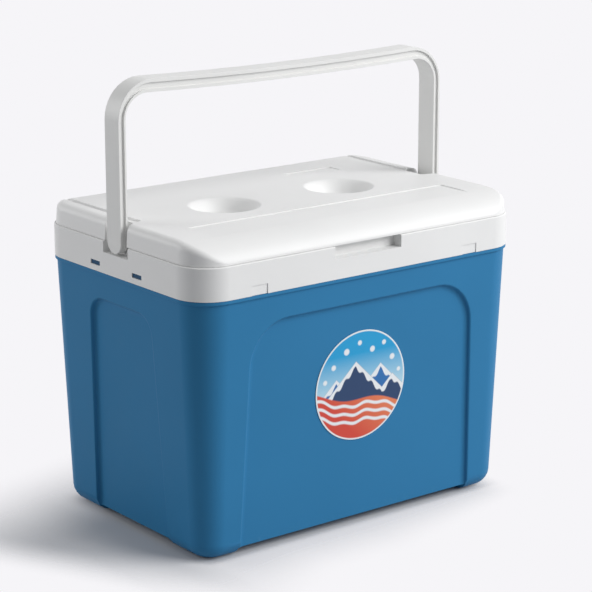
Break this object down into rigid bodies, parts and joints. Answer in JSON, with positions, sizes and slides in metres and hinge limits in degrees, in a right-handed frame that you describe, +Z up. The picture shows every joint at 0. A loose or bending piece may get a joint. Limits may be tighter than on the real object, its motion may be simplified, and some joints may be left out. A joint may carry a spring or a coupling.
{
  "type": "cooler chest",
  "caption": "Insulated cooler chest with a tapered tub, a tip-up lid with cup wells, and an upright carrying handle that swings back with the lid.",
  "frame": {"origin": "on the floor, under the middle of the chest's outline with the rear hinges included", "axes": "+Z up, -Y towards the front with the label and the finger notch, +X to the right seen from the front"},
  "size_m": [0.4, 0.2796, 0.446],
  "materials": {
    "shell_blue": "satin blue moulding",
    "moulded_white": "satin white moulding",
    "liner_white": "smooth white moulding",
    "foam_white": "rigid insulating foam",
    "pin_steel": "plain steel wire",
    "label_face": "printed film"
  },
  "bodies": {
    "chest": {"outer_shell": "shell_blue", "collar": "moulded_white", "inner_liner": "liner_white", "body_foam": "foam_white", "front_label": "label_face", "left_hinge_pin": "pin_steel", "right_hinge_pin": "pin_steel"},
    "lid": {"lid_cover": "moulded_white", "lid_liner": "liner_white", "lid_foam": "foam_white"},
    "handle": {"handle": "moulded_white"}
  },
  "joints": [
    {"name": "lid_tip", "type": "hinge", "parent": "chest", "child": "lid", "pos_m": [0, 0.13525, 0.29015], "axis": [-1, 0, 0], "range_deg": [0, 42]},
    {"name": "handle_swing", "type": "hinge", "parent": "chest", "child": "handle", "pos_m": [0, -0.00215, 0.2845], "axis": [-1, 0, 0], "range_deg": [0, 22.47]}
  ],
  "couplings": [
    {"joint": "handle_swing", "follows": "lid_tip", "ratio": 0.535}
  ]
}
